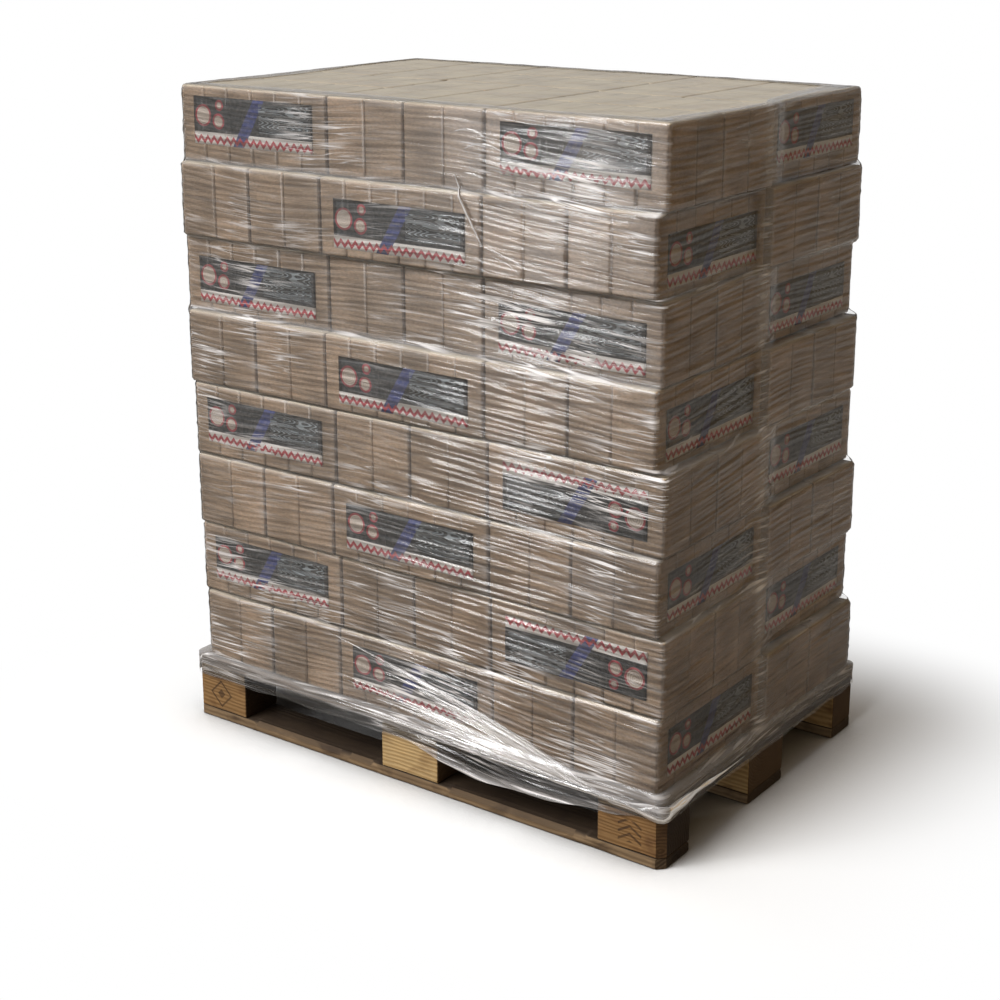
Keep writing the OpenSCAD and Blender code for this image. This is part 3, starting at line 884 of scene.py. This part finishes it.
def frontLook(along, z, milk, crumple):
    onLoad = z > deckZ
    toSeam = min(abs(along - line) for line in skinSeams[layerAt(z)]["front"])
    milk += film["seamLight"] * max(0.0, 1 - toSeam / film["seamLightRun"]) * onLoad        # painted light on the film over the seam between packs, lifting the shade in the gap
    cloud = max(0.0, 0.42 + 1.1 * ripple(along, z, 4.2, 7, 3.3))        # painted glints and sheen towards the upper right
    cloud *= smooth(-0.02, 0.3, along) * (0.3 + 0.7 * smooth(0.45, 1.05, z))
    leftward = smooth(0.2, -0.15, along)        # duller towards the left: more haze and fewer white creases, which are partly painted glints
    milk += film["dull"] * leftward * onLoad
    crumple *= 1 - 0.3 * leftward
    # the crushed spots get more haze and painted glints
    crush = nearSpots(film["crushed"], along, z)
    milk += film["paintedSheen"] * cloud + film["crush"] * crush
    crumple += film["paintedGlint"] * (cloud + 2 * crush)
    crumple *= 1 - 0.6 * min(1.0, nearSpots(film["clear"], along, z))
    top = fanTop(along)        # streaks run out through the fan of folds
    spread = (z - deckZ) / max(0.004, top - deckZ)
    streak = max(0.0, 0.5 + 1.2 * ripple(along, spread, 5, 8, 1.7))
    within = smooth(0.0, 0.03, top - z) * smooth(-0.28, 0.02, along) * smooth(0.5, 0.4, along) * (z > deckZ - 0.02)
    return milk + film["veil"] * streak * within, crumple + 0.5 * within


def rightLook(along, z, milk, crumple):
    (y0, z0), (y1, z1) = film["band"]
    share = max(0.0, min(1.0, (along - y0) / (y1 - y0)))
    off = math.hypot(along - y0 - (y1 - y0) * share, z - z0 - (z1 - z0) * share)
    milk += film["bandMilk"] * math.exp(-(off / film["bandWide"]) ** 2)
    toStep = along - skinParts[layerAt(z)] + film["stepRun"] / 3        # painted light where the film runs free across the step, lifting the shade there
    return milk + film["stepLight"] * math.exp(-(toStep / film["stepLightRun"]) ** 2) * (z > deckZ), crumple


def filmLook(side, along, z):
    # extra haze and the share of white creases, which are partly painted highlights: a painted highlight where the film
    # turns in over an edge, more where it lies slack and doubled
    knots = skinKnots[{"right": "rightNear"}.get(side, side)]
    slope = (reachAt(knots, z - 0.004) - reachAt(knots, z + 0.004)) / 0.008
    # painted highlight where the film turns over a layer's upper edge and faces up
    milk, crumple = film["ledgeHighlight"] * max(0.0, slope) / (1 + abs(slope)), film["crumple"][side]
    milk += film["deckMilk"] * smooth(deckZ + 0.012, deckZ, z)        # many turns hold the deck's edge
    if side == "front":
        return frontLook(along, z, milk, crumple)
    return rightLook(along, z, milk, crumple) if side == "right" else (milk, crumple)


def rowHeights(top):
    # even rows, and closer ones where two layers meet so that the groove stays crisp
    heights = [film["hem"] + (top - film["hem"]) * k / film["rows"] for k in range(film["rows"] + 1)]
    joints = [deckZ + k * packs["height"] for k in range(1, packs["layers"])]
    heights = [z for z in heights if min(abs(z - joint) for joint in joints) > film["jointClear"]]
    return sorted(heights + [joint + off for joint in joints for off in film["jointRows"]])


def filmMesh(material):
    top = deckZ + packs["layers"] * packs["height"]
    free = deckZ - timber["board"]        # below the deck boards the film hangs free
    tight, slack = film["creases"]
    bm = bmesh.new()
    uvLayer = bm.loops.layers.uv.new("wound")
    milkLayer, crumpleLayer = [bm.verts.layers.float.new(name) for name in ("milk", "crumple")]
    rows, heights = [], rowHeights(top)
    for k, z in enumerate(heights + [top] * film["lapRows"]):
        onTop = max(0, k - len(heights) + 1)
        row, u, before = [], 0.0, None
        for spot, out, side, along in filmRow(z):
            if before is not None:
                u += (spot - before).length
            before = spot
            push = wrinkle(u, z) * (0.5 + 0.5 * smooth(deckZ - 0.02, deckZ + 0.03, z))
            height, (milk, crumple) = z, filmLook(side, along, z)
            if z < free:        # an uneven hem in loose folds, its edge rolled up
                hang = (free - z) / (free - film["hem"])
                drop = reachAt(film["sag"], along) if side == "front" else 0.0
                height -= hang * (drop + film["hemRough"] * ripple(u, 0, 9, 0, 4.4))
                push += film["hemFold"] * hang * max(0.0, 0.4 + ripple(u, z, 15, 60, 8.2))
                milk, crumple = 12 * smooth(0.6, 1.0, hang) * drop, 0.5 + 14 * drop
            if onTop:        # the last turn laps in over the top edge
                lap = film["lap"] * (0.55 + 0.6 * noise.noise(Vector((u * 2.4, 7.7, 0))))
                push = -lap * onTop / film["lapRows"]
                height = top + film["lapLift"] + film["lapRough"] * abs(ripple(u, onTop, 16, 0.5, 1.9))
                milk = film["lapMilk"]
            place = spot + out * push
            vert = bm.verts.new((place.x, place.y, height))
            crumple *= tight + (slack - tight) * smooth(-0.3, 0.34, ripple(u, z, 3, 7, 2.6))
            crumple *= 0.3 + 1.2 * smooth(-0.3, 0.4, ripple(u, z, 10, 24, 6.6))        # in clumps
            vert[milkLayer], vert[crumpleLayer] = milk, crumple
            drift = film["drift"] * ripple(u, z, 2.2, 2.6, 5.5)        # the creases wander
            row.append((vert, u, height + 0.008 * onTop + drift))
        rows.append((row, u))
    for (rowA, girthA), (rowB, girthB) in zip(rows, rows[1:]):
        for i in range(len(rowA)):
            j = (i + 1) % len(rowA)
            corners = (rowA[i], rowA[j], rowB[j], rowB[i])
            face = bm.faces.new([vert for vert, _, _ in corners])
            face.smooth = True
            marks = [[u, v] for _, u, v in corners]
            if j == 0:        # the last face closes the girth
                marks[1][0], marks[2][0] = girthA + film["closing"], girthB + film["closing"]
            for loop, mark in zip(face.loops, marks):
                loop[uvLayer].uv = mark
    return meshFrom(bm, "film_skin", material), (rows[0][1], top - film["hem"] + film["lap"] * 0.6)


def woundPolyethylene(name, levelScale, streakScale, haze):
    # stretch-wound film: clear and glossy, drawn into fine wrinkles whose creases show white, partly as real gloss on
    # the bumps and partly as painted highlights in the haze
    material, tree = newMaterial(name)
    mark = addNode(tree, "ShaderNodeUVMap", uv_map="wound").outputs[0]        # in metres along and up the film
    milk, crumple = [addNode(tree, "ShaderNodeAttribute", attribute_name=layer).outputs["Fac"]
                     for layer in ("milk", "crumple")]
    fine, streak = [addNode(tree, "ShaderNodeTexNoise", {        # long wrinkles, and white streaks in pieces that are painted highlights
        "Vector": addNode(tree, "ShaderNodeMapping", {"Vector": mark, "Scale": (*scale, 1)}).outputs[0],
        "Scale": 1, "Detail": detail}, noise_dimensions="2D").outputs["Fac"]
        for scale, detail in ((levelScale, 0), (streakScale, 1))]
    broken = addNode(tree, "ShaderNodeMapRange", {0: streak, 1: 0.55, 2: 0.74}).outputs[0]
    sums = {"fine": fine, "broken": broken, "milk": milk, "crumple": crumple}
    # the white creases and streaks are painted highlights, added to the film's haze
    for result, operation, a, b in (
            ("off", "SUBTRACT", "fine", 0.5), ("far", "ABSOLUTE", "off", 0.0), ("thin", "DIVIDE", "far", 0.05),
            ("line", "SUBTRACT", 1.0, "thin"), ("crease", "MAXIMUM", "line", 0.0),
            ("both", "ADD", "crease", "broken"), ("here", "MULTIPLY", "both", "crumple"),
            ("doubled", "MULTIPLY", "broken", "milk"), ("more", "MULTIPLY", "doubled", 1.6),
            ("sum", "ADD", "here", "more"), ("hazed", "ADD", "sum", "milk"), ("white", "ADD", "hazed", haze),
            ("share", "MINIMUM", "white", 0.9)):
        sums[result] = addNode(tree, "ShaderNodeMath", {0: sums.get(a, a), 1: sums.get(b, b)},
                               operation=operation).outputs[0]
    bump = addNode(tree, "ShaderNodeBump", {"Height": fine, "Strength": 1.0, "Distance": 0.0042}).outputs[0]
    clearFilm(tree, sums["share"], "#e6e2e1", 0.12, bump)
    return material


# wrinkles 9 mm apart and 170 mm long, streaks 7 mm high and 120 mm long
stretchFilm = woundPolyethylene("stretchFilm", (6, 112), (8.5, 140), 0.012)
skinMesh, skinFlat = filmMesh(stretchFilm)
filmSkin = newPiece("film_skin", skinMesh, "film", "stretch_film")
print("film wound:", len(skinMesh.polygons), "faces, flat", [round(x, 3) for x in skinFlat])


# gathered film: a rope at the near corner, a fan of folds that runs out of it, loose twists
gathers = {
    "ropeRight": 0.30, "ropeFront": 0.66, "ropeZ": 0.119, "ropeRound": (0.0014, 0.0078, 0.11), "ropeFlat": (1.1, 0.9),
    "ropeDeep": (0.36, 0.26), "ropeSteps": 150, "ropeTurns": 9, "ropeMilk": 0.1, "lobes": 10, "crumple": 0.3,
    "folds": 18, "foldWide": 0.011, "foldLift": 0.0038, "foldStand": 0.0014, "foldSteps": 26, "foldMilk": 0.04,
    "foldForm": ((-0.5, 0.0), (-0.2, 0.65), (0.0, 1.0), (0.2, 0.65), (0.5, 0.0)),        # across and up
    "foldLow": (0.465, 0.123), "seed": 23, "web": 0.5,
    "loops": (((0.181, 1.127), (0.225, 1.118), (0.285, 1.094)), ((0.196, 1.112), (0.235, 1.106), (0.262, 1.084)),
              ((0.128, 1.257), (0.150, 1.256), (0.176, 1.249)), ((0.105, 1.330), (0.150, 1.345), (0.182, 1.318)),
              ((0.128, 1.300), (0.170, 1.322), (0.215, 1.300))), "loopWide": 0.42, "loopLift": 0.5,
    "twist": ((0.106, 1.252), (0.130, 1.205), (0.180, 1.126)), "twistRound": 0.0016, "twistFlat": 1.15,
    "twistDeep": 0.38, "twistStand": 0.003, "twistSteps": 34, "twistTurns": 36, "twistMilk": 0.85,
}


def skinSpot(side, along, z, lift):
    # a place on the wound film, stood off by the lift
    off = film["gap"] + lift
    if side == "front":
        return Vector((along, -reachAt(skinKnots["front"], z) - off, z))
    near, far = reachAt(skinKnots["rightNear"], z), reachAt(skinKnots["rightFar"], z)
    return Vector((rightReach(near, far, skinParts[layerAt(z)], along) + off, along, z))


def curveThrough(marks, t):
    points = [Vector(mark) for mark in marks]
    while len(points) > 1:
        points = [a.lerp(b, t) for a, b in zip(points, points[1:])]
    return points[0]


def filmVert(bm, place, milk):
    vert = bm.verts.new(place)
    for layer, value in (("milk", milk), ("crumple", gathers["crumple"])):
        vert[bm.verts.layers.float[layer]] = value
    return vert


def joinRings(bm, uvLayer, rings, closed):
    for ringA, ringB in zip(rings, rings[1:]):
        for k in range(len(ringA) if closed else len(ringA) - 1):
            j = (k + 1) % len(ringA)
            quad = (ringA[k], ringA[j], ringB[j], ringB[k])
            face = bm.faces.new([q[0] for q in quad])
            face.smooth = True
            for loop, (_, mark) in zip(face.loops, quad):
                loop[uvLayer].uv = mark


def thinEnds(i, steps):
    return max(0.0, math.sin(math.pi * i / steps)) ** 0.6


def addFold(bm, uvLayer, marks, wide, lift):
    # a raised fold in the film along a curve, thinning out at both ends
    steps = gathers["foldSteps"]
    line = [curveThrough(marks, i / steps) for i in range(steps + 1)]
    rings, run = [], 0.0
    for i, spot in enumerate(line):
        ahead = (line[min(i + 1, steps)] - line[max(i - 1, 0)]).normalized()
        run += (spot - line[i - 1]).length if i else 0.0
        size = 0.1 + 0.9 * thinEnds(i, steps)
        ring = []
        for off, up in gathers["foldForm"]:
            x, z = spot.x - ahead.y * off * wide * size, spot.y + ahead.x * off * wide * size
            place = skinSpot("front", x, z, gathers["foldStand"] + lift * up * size)
            ring.append((filmVert(bm, place, gathers["foldMilk"]), (run, wide * (off + 0.5))))
        rings.append(ring)
    joinRings(bm, uvLayer, rings, False)


def addTwist(bm, uvLayer, strand, turns, milk):
    # film drawn into a twisted strand, flattened against what it lies on; one entry for each place along it
    lobes, rings, run = gathers["lobes"], [], 0.0
    for i, (spot, out, thick, flat, deep) in enumerate(strand):
        before, after = strand[max(i - 1, 0)][0], strand[min(i + 1, len(strand) - 1)][0]
        run += (spot - before).length
        aside = (after - before).normalized().cross(out).normalized()
        ring = []
        for k in range(lobes):
            turn = 2 * math.pi * k / lobes
            reach = thick * (1 + deep * math.cos(3 * turn + 2 * math.pi * turns * run))
            place = spot + (aside * math.cos(turn) * flat + out * math.sin(turn) * 0.8) * reach
            ring.append((filmVert(bm, place, milk), (run, 0.03 * k / lobes)))
        rings.append(ring)
    joinRings(bm, uvLayer, rings, True)
    bm.faces.new([vert for vert, _ in reversed(rings[0])])
    bm.faces.new([vert for vert, _ in rings[-1]])


def ropeStrand():
    # the last turns drawn to a rope along the deck's edge, thickest at the near corner
    bend, steps = film["cornerRound"], gathers["ropeSteps"]
    thin, more, fade = gathers["ropeRound"]
    strand = []
    for i in range(steps + 1):
        run = -gathers["ropeRight"] + (gathers["ropeFront"] + gathers["ropeRight"]) * i / steps
        corner = math.exp(-abs(run) / fade)        # 1 at the corner, less along both sides
        size = (thin + more * corner) * (1 + 0.35 * noise.noise(Vector((run * 22, 3.3, 0))))
        z = gathers["ropeZ"] + 0.006 * noise.noise(Vector((run * 5, 8.1, 0))) * min(1, abs(run) / 0.1)
        turn = max(0.0, min(1.0, run / bend / 2 + 0.5)) * math.pi / 2        # from facing right to facing front
        out = Vector((math.cos(turn), -math.sin(turn), 0))
        pivot = Vector((palletHalfX - max(bend, run), -palletHalfY + max(bend, -run), z))
        spot = pivot + out * (bend + film["gap"] + 0.001 + 0.6 * size)
        thick = size * min(1.0, 0.15 + 6 * min(i, steps - i) / steps)
        strand.append((spot, out, thick, gathers["ropeFlat"][0] + gathers["ropeFlat"][1] * corner,
                       gathers["ropeDeep"][0] - gathers["ropeDeep"][1] * corner))
    return strand


def twistStrand():
    # a loose end twisted thin, hanging on the front
    strand, steps = [], gathers["twistSteps"]
    for i in range(steps + 1):
        x, z = curveThrough(gathers["twist"], i / steps)
        thick = gathers["twistRound"] * (0.18 + 0.82 * thinEnds(i, steps))
        strand.append((skinSpot("front", x, z, gathers["twistStand"]), Vector((0, -1, 0)), thick,
                       gathers["twistFlat"], gathers["twistDeep"]))
    return strand


bm = bmesh.new()
uvLayer = bm.loops.layers.uv.new("wound")
for layer in ("milk", "crumple"):
    bm.verts.layers.float.new(layer)
addTwist(bm, uvLayer, ropeStrand(), gathers["ropeTurns"], gathers["ropeMilk"])
draw = random.Random(gathers["seed"])
low = deckZ - timber["board"]
foldX, foldZ = gathers["foldLow"]
for k in range(gathers["folds"]):        # folds leave the rope one after another and run out to the left
    level = (k + draw.uniform(0.2, 0.8)) / gathers["folds"]
    start, end = foldX - 0.2 * (1 - level) * draw.random(), draw.uniform(-0.26, 0.2)
    marks = [(start, foldZ)] + [(x, low + (fanTop(x) - low) * level) for x in (start - 0.1, start - 0.24, end)]
    wide, lift = gathers["foldWide"] * draw.uniform(0.4, 1.2), gathers["foldLift"] * draw.uniform(0.4, 1.1)
    addFold(bm, uvLayer, marks, wide, lift)
for marks in gathers["loops"]:
    addFold(bm, uvLayer, marks, gathers["foldWide"] * gathers["loopWide"], gathers["foldLift"] * gathers["loopLift"])
addTwist(bm, uvLayer, twistStrand(), gathers["twistTurns"], gathers["twistMilk"])
gatherArea = sum(face.calc_area() for face in bm.faces)
gatheredFilm = woundPolyethylene("gatheredFilm", (4, 150), (7, 110), 0.02)
filmGathers = newPiece("film_gathers", meshFrom(bm, "film_gathers", gatheredFilm), "film")
print("film gathered, area", round(gatherArea, 3))


# floor and light
studio = {
    "floor": 60.0, "floorZ": -0.0005, "whiteFrom": (0.03, 0.55),        # metres from the pallet, shaded to white
    "world": 0.28, "warm": "#f0cb94", "sun": 3.3, "sunSize": 42, "sunFrom": (-0.28, -0.6, 0.75),
    "strip": 47, "stripPlace": (-2.05, -3.9, 1.0), "stripSize": (0.4, 2.6), "stripAim": (0.35, -0.4, 0.8),
}


def paleFloor():
    # matt white studio floor: dark under the pallet, with painted shade there, a soft shadow beside it, white further
    # off
    material, tree = newMaterial("paleFloor")
    ray = addNode(tree, "ShaderNodeLightPath").outputs
    part = addNode(tree, "ShaderNodeMath", {0: ray["Is Glossy Ray"], 1: 0.25}, operation="MULTIPLY").outputs[0]
    seen = addNode(tree, "ShaderNodeMath", {0: ray["Is Camera Ray"], 1: part}, operation="MAXIMUM").outputs[0]
    seen = addNode(tree, "ShaderNodeMath", {0: seen, 1: ray["Is Transmission Ray"]}, operation="MAXIMUM").outputs[0]
    away = addNode(tree, "ShaderNodeTexCoord").outputs["Object"]
    for operation, other in (("ABSOLUTE", (0, 0, 0)), ("SUBTRACT", (palletHalfX, palletHalfY, 0)),
                             ("MAXIMUM", (0, 0, 0))):        # how far off the pallet's edge
        away = addNode(tree, "ShaderNodeVectorMath", {0: away, 1: other}, operation=operation).outputs[0]
    away = addNode(tree, "ShaderNodeVectorMath", {0: away}, operation="LENGTH").outputs["Value"]
    whiten = addNode(tree, "ShaderNodeMapRange", {0: away, 1: studio["whiteFrom"][0], 2: studio["whiteFrom"][1]},
                     interpolation_type="SMOOTHSTEP").outputs[0]
    # painted shade: the floor's colour darkens where the pallet closes it in from above
    openness = addNode(tree, "ShaderNodeAmbientOcclusion", {"Distance": 0.2}, samples=3).outputs["AO"]
    shade = addNode(tree, "ShaderNodeMapRange", {0: openness, 1: 0.2, 2: 0.7}).outputs[0]
    pale = addNode(tree, "ShaderNodeMix", {0: shade, 6: hexLinear("#2c2824"), 7: hexLinear("#f7f7f7")},
                   data_type="RGBA").outputs[2]
    matt = addNode(tree, "ShaderNodeBsdfDiffuse", {"Color": pale}).outputs[0]
    glow = addNode(tree, "ShaderNodeEmission", {"Color": (1, 1, 1, 1), "Strength": 1.0}).outputs[0]
    shown = addNode(tree, "ShaderNodeMixShader", {0: whiten, 1: matt, 2: glow}).outputs[0]
    dim = addNode(tree, "ShaderNodeBsdfDiffuse", {"Color": hexLinear("#8e8578")}).outputs[0]
    showSurface(tree, addNode(tree, "ShaderNodeMixShader", {0: seen, 1: dim, 2: shown}).outputs[0])
    return material


bm = bmesh.new()
bmesh.ops.create_grid(bm, x_segments=4, y_segments=4, size=studio["floor"])
floor = bpy.data.objects.new("studioFloor", meshFrom(bm, "studioFloor", paleFloor()))
floor.location.z = studio["floorZ"]
scene.collection.objects.link(floor)

world = bpy.data.worlds.new("softStudio")
scene.world = world
world.use_nodes = True
tree = world.node_tree
tree.nodes.clear()
ray = addNode(tree, "ShaderNodeLightPath").outputs
seen = addNode(tree, "ShaderNodeMath", {0: ray["Is Camera Ray"], 1: ray["Is Transmission Ray"]},
               operation="MAXIMUM").outputs[0]
part = addNode(tree, "ShaderNodeMath", {0: ray["Is Glossy Ray"], 1: 0.2}, operation="MULTIPLY").outputs[0]
shown = addNode(tree, "ShaderNodeMath", {0: seen, 1: part}, operation="MAXIMUM").outputs[0]
level = addNode(tree, "ShaderNodeMapRange", {0: shown, 3: studio["world"], 4: 1.0}).outputs[0]
aside = addNode(tree, "ShaderNodeSeparateXYZ", {
    0: addNode(tree, "ShaderNodeTexCoord").outputs["Generated"]}).outputs["X"]
warmth = addNode(tree, "ShaderNodeMapRange", {0: aside, 1: 0.1, 2: 0.7}).outputs[0]        # warmer light from the right
warmth = addNode(tree, "ShaderNodeMath", {0: warmth, 1: seen}, operation="SUBTRACT", use_clamp=True).outputs[0]
tint = addNode(tree, "ShaderNodeMix", {0: warmth, 6: (1, 1, 1, 1), 7: hexLinear(studio["warm"])},
               data_type="RGBA").outputs[2]
light = addNode(tree, "ShaderNodeBackground", {"Color": tint, "Strength": level}).outputs[0]
addNode(tree, "ShaderNodeOutputWorld", {"Surface": light})

sun = bpy.data.lights.new("skyPanel", "SUN")
sun.energy, sun.angle = studio["sun"], math.radians(studio["sunSize"])
sunLamp = bpy.data.objects.new("skyPanel", sun)
sunLamp.rotation_euler = Vector(studio["sunFrom"]).to_track_quat("Z", "Y").to_euler()
scene.collection.objects.link(sunLamp)

strip = bpy.data.lights.new("stripBox", "AREA")        # its mirror images run along the film's wrinkles
strip.shape, strip.size, strip.size_y = "RECTANGLE", *studio["stripSize"]
strip.energy = studio["strip"]
stripLamp = bpy.data.objects.new("stripBox", strip)
stripLamp.location = studio["stripPlace"]
stripFrom = Vector(studio["stripPlace"]) - Vector(studio["stripAim"])
stripLamp.rotation_euler = stripFrom.to_track_quat("Z", "Y").to_euler()
scene.collection.objects.link(stripLamp)

scene.view_settings.view_transform = "Standard"
print("studio lit")
